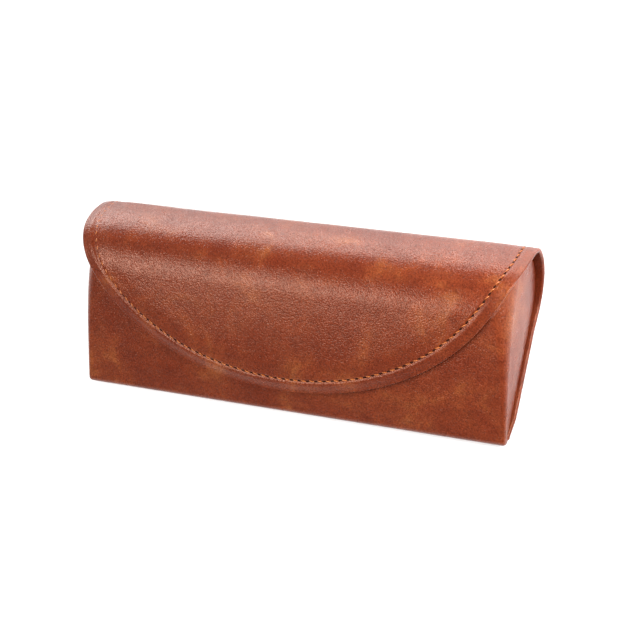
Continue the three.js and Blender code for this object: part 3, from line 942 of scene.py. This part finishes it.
def make_stitches(marks):
    """Each stitch rises out of one needle hole, lies on the leather and dives into the next."""
    parts = []
    steps = 9
    margin = (1 - STITCH_LENGTH / STITCH_PITCH) / 2
    for (x0, d0), (x1, d1) in zip(marks, marks[1:]):
        centres = []
        for i in range(steps + 1):
            share = i / steps
            along = lerp(margin, 1 - margin, share)
            slant = STITCH_SLANT * (2 * share - 1)
            run = math.hypot(x1 - x0, d1 - d0)
            x = lerp(x0, x1, along) - slant * (d1 - d0) / run
            distance = lerp(d0, d1, along) + slant * (x1 - x0) / run
            lift = STITCH_RISE * math.sin(math.pi * share) ** STITCH_FLATNESS - STITCH_DIP
            centres.append(on_leather(x, distance, lift))
        up = on_leather(x0, d0, 1.0) - on_leather(x0, d0, 0.0)
        parts.append(thread_tube(centres, up, 10))
    piece = new_object("flap_stitches", *joined(parts), thread)
    bend_at_hinge(piece, "orange_thread", "flap_thread")


def needle_hole(centre, up, ahead):
    """Vertices and faces of one needle hole, a lens let into the leather that carries painted shade."""
    rings, sides = 4, 12
    length, width = HOLE_SIZE
    side = up.cross(ahead).normalized()
    towards_hinge = math.copysign(1, side.y + 1e-9)    # side.y is 0 on the straight sides
    centre = centre + side * towards_hinge * HOLE_OFFSET * MM
    vertices = [centre + up * (HOLE_CROWN + HOLE_LIFT) * MM]
    for r in range(1, rings):
        reach = math.sin(math.pi * r / rings)
        lift = HOLE_CROWN * math.cos(math.pi * r / rings) + HOLE_LIFT
        for k in range(sides):
            angle = 2 * math.pi * k / sides
            flat = ahead * length * math.cos(angle) + side * width * math.sin(angle)
            vertices.append(centre + (flat * reach + up * lift) * MM)
    vertices.append(centre - up * HOLE_DEPTH * MM)
    last = len(vertices) - 1
    faces = [(0, 1 + k, 1 + (k + 1) % sides) for k in range(sides)]
    for r in range(rings - 2):
        for k in range(sides):
            a, b = 1 + r * sides + k, 1 + r * sides + (k + 1) % sides
            faces.append((a, a + sides, b + sides, b))
    ring = 1 + (rings - 2) * sides
    faces += [(last, ring + (k + 1) % sides, ring + k) for k in range(sides)]
    return vertices, faces


def make_needle_holes(marks):
    parts = []
    for mark, next_mark in zip(marks, marks[1:] + [marks[-2]]):
        centre = on_leather(*mark, 0.0)
        up = (on_leather(*mark, 1.0) - centre).normalized()
        ahead = (on_leather(*next_mark, 0.0) - centre).normalized()
        parts.append(needle_hole(centre, up, ahead))
    # the holes are dark lenses of painted shade over the leather
    piece = new_object("flap_needle_holes", *joined(parts), painted_needle_shade)
    bend_at_hinge(piece, "orange_thread")


# ---------------------------------------------------------------- floor, light and camera

FLOOR_HALF_SIZE = 3.0                # metres


def make_floor():
    size = FLOOR_HALF_SIZE
    corners = [(-size, -size, 0), (size, -size, 0), (size, size, 0), (-size, size, 0)]
    mesh = bpy.data.meshes.new("floor")
    mesh.from_pydata(corners, [], [(0, 1, 2, 3)])
    floor = bpy.data.objects.new("floor", mesh)
    material, _, shader = new_material("floor_paint")
    shader.inputs["Base Color"].default_value = (0.92, 0.92, 0.92, 1)
    shader.inputs["Roughness"].default_value = 0.9
    mesh.materials.append(material)
    bpy.context.scene.collection.objects.link(floor)


# The photo's view of a case standing on its fold, in millimetres and radians. LEAN is the angle
# that lays the case, and the camera with it, on the case's back.
LEAN = math.radians(53.7)
VIEW_AZIMUTH = math.radians(23.02)
VIEW_ELEVATION = math.radians(18.5)
VIEW_DISTANCE = 526.0
VIEW_TARGET = Vector((7.4, 14.1, 30.3))
FOLD_LIFT = 3.0
LENS = 84.22


def make_camera():
    """The photo's view, turned with the case from standing on its fold to lying on its back."""
    data = bpy.data.cameras.new("camera")
    data.lens = LENS
    data.clip_start = 0.01
    camera = bpy.data.objects.new("camera", data)
    bpy.context.scene.collection.objects.link(camera)
    a, e = VIEW_AZIMUTH, VIEW_ELEVATION
    ahead = Vector((-math.sin(a) * math.cos(e), math.cos(a) * math.cos(e), -math.sin(e)))
    right = Vector((math.cos(a), math.sin(a), 0))
    standing = Matrix((right, right.cross(ahead), -ahead)).transposed().to_4x4()
    standing.translation = VIEW_TARGET - ahead * VIEW_DISTANCE
    laid = Matrix.Rotation(-LEAN, 4, "X") @ standing
    laid.translation = place(*(laid.translation + Vector((0, 0, FOLD_LIFT))))
    camera.matrix_world = laid
    bpy.context.scene.camera = camera


def add_softbox(name, position, target, size, power):
    """A rectangular light, in metres and watts, that faces a target."""
    data = bpy.data.lights.new(name, "AREA")
    data.shape = "RECTANGLE"
    data.size, data.size_y = size
    data.energy = power
    light = bpy.data.objects.new(name, data)
    light.location = position
    way = Vector(target) - Vector(position)
    light.rotation_euler = way.to_track_quat("-Z", "Y").to_euler()
    light.visible_camera = False
    bpy.context.scene.collection.objects.link(light)


def make_light():
    world = bpy.data.worlds.new("studio")
    bpy.context.scene.world = world
    world.use_nodes = True
    background = world.node_tree.nodes["Background"]
    background.inputs["Color"].default_value = (1, 1, 1, 1)
    background.inputs["Strength"].default_value = 0.20
    add_softbox("back_softbox", (-0.37, 1.0, 0.13), (0, 0, 0.02), (1.6, 0.24), 15.5)
    add_softbox("top_softbox", (-0.55, -0.39, 1.0), (0, 0, 0), (0.9, 0.22), 17)
    add_softbox("side_softbox", (0.16, 0.5, 0.25), (0.1, 0.0, 0.0), (0.15, 0.15), 1.2)
    add_softbox("gusset_softbox", (0.24, 0.05, 0.16), (0.1, 0.0, 0.0), (0.12, 0.2), 1.1)
    bpy.context.scene.view_settings.view_transform = "Standard"


# ---------------------------------------------------------------- assembly

make_camera()
make_floor()
make_light()
finish_cad_nodes()
make_outer_leather()
make_inner_lining()
make_front_leather()
make_rim_binding()
make_pocket_lining()
needle_marks = stitch_marks()
make_stitches(needle_marks)
make_needle_holes(needle_marks)
